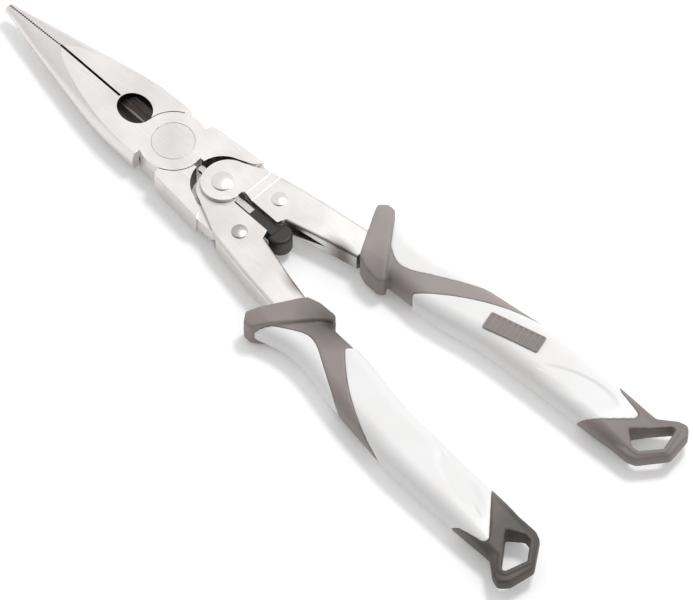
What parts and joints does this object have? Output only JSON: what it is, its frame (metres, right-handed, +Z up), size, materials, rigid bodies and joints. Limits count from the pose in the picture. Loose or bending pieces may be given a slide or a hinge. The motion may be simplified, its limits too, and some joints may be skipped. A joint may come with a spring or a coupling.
{
  "type": "fishing pliers",
  "caption": "Double-leverage long-nose pliers with a side cutter, sliding lock and two-tone grips ending in lanyard loops.",
  "frame": {"origin": "middle of the footprint, on the surface that the pliers lie on", "axes": "+X from the jaw tips to the handle ends, +Y towards lever A, +Z up, square to the flat of the tool"},
  "size_m": [0.2319, 0.0722, 0.0115],
  "materials": {
    "jaw_steel": "satin ground stainless steel",
    "lever_steel": "bright satin pressed stainless sheet",
    "rivet_steel": "turned steel, lightly polished",
    "slide_steel": "stamped steel, dull",
    "spring_steel": "drawn spring wire",
    "tab_plastic": "black moulded plastic",
    "grip_gray": "warm grey soft moulded rubber",
    "grip_white": "white smooth moulded panel",
    "badge_gray": "raised grey moulded plate"
  },
  "bodies": {
    "jaw_a": {"jaw_a": "jaw_steel", "jaw_pivot_rivet": "rivet_steel"},
    "jaw_b": {"jaw_b": "jaw_steel"},
    "lever_a": {"lever_a": "lever_steel", "link_rivet_a": "rivet_steel", "grip_core_a": "grip_gray", "thumb_panel_a": "grip_white", "palm_panel_a": "grip_white", "grip_badge": "badge_gray"},
    "lever_b": {"lever_b": "lever_steel", "link_rivet_b": "rivet_steel", "grip_core_b": "grip_gray", "thumb_panel_b": "grip_white", "palm_panel_b": "grip_white"},
    "head_pivot": {"lever_pivot_rivet": "rivet_steel", "pivot_sleeve": "rivet_steel", "opening_spring": "spring_steel", "slide_washer": "slide_steel"},
    "lock": {"lock_slide": "slide_steel", "lock_tab": "tab_plastic"}
  },
  "joints": [
    {"name": "jaw_opening", "type": "hinge", "parent": "jaw_a", "child": "jaw_b", "pos_m": [-0.051, 0, 0.0056], "axis": [0, 0, -1], "range_deg": [0, 15]},
    {"name": "lever_a_link", "type": "hinge", "parent": "jaw_a", "child": "lever_a", "pos_m": [-0.0171, 0.0076, 0.0056], "axis": [0, 0, 1], "range_deg": [0, 11.5]},
    {"name": "lever_b_link", "type": "hinge", "parent": "jaw_b", "child": "lever_b", "pos_m": [-0.0171, -0.0076, 0.0056], "axis": [0, 0, -1], "range_deg": [0, 11.5]},
    {"name": "head_pivot_turn", "type": "hinge", "parent": "lever_a", "child": "head_pivot", "pos_m": [-0.0316, 0, 0.0056], "axis": [0, 0, -1], "range_deg": [0, 19]},
    {"name": "lock_slide_travel", "type": "slide", "parent": "head_pivot", "child": "lock", "axis": [-1, 0, 0], "range_m": [0, 0.0009]}
  ],
  "couplings": [
    {"joint": "lever_a_link", "follows": "jaw_opening", "ratio": 0.7589},
    {"joint": "lever_b_link", "follows": "jaw_opening", "ratio": 0.7589},
    {"joint": "head_pivot_turn", "follows": "jaw_opening", "ratio": 1.2589}
  ]
}
